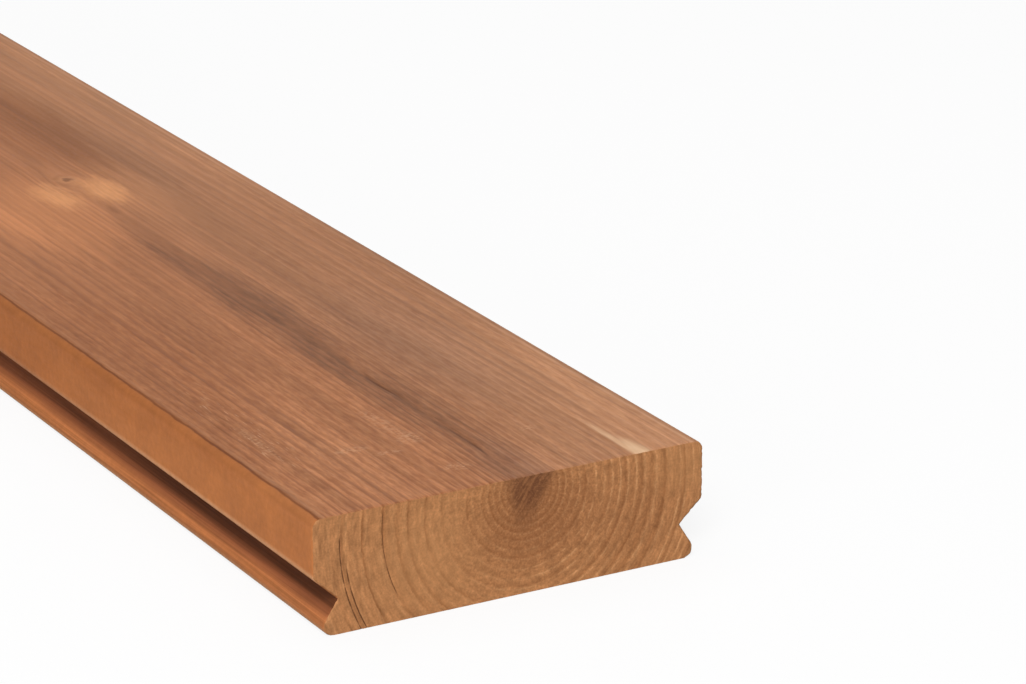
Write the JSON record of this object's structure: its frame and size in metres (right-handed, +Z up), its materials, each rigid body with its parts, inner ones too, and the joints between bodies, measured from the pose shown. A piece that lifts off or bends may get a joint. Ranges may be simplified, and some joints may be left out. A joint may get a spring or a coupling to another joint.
{
  "type": "decking board",
  "caption": "Long planed softwood decking board with rounded top edges and a V-shaped clip groove above a rounded lip along both sides, for hidden fastening to joists.",
  "frame": {"origin": "middle of the underside, which rests on the joists", "axes": "+Z up through the walked-on face, +Y along the board, +X across it"},
  "size_m": [0.092, 1.8, 0.026],
  "materials": {
    "heat_treated_pine": "planed bare heat-treated pine, satin, with sawn end grain"
  },
  "bodies": {
    "root": {"decking_board": "heat_treated_pine"}
  },
  "joints": []
}
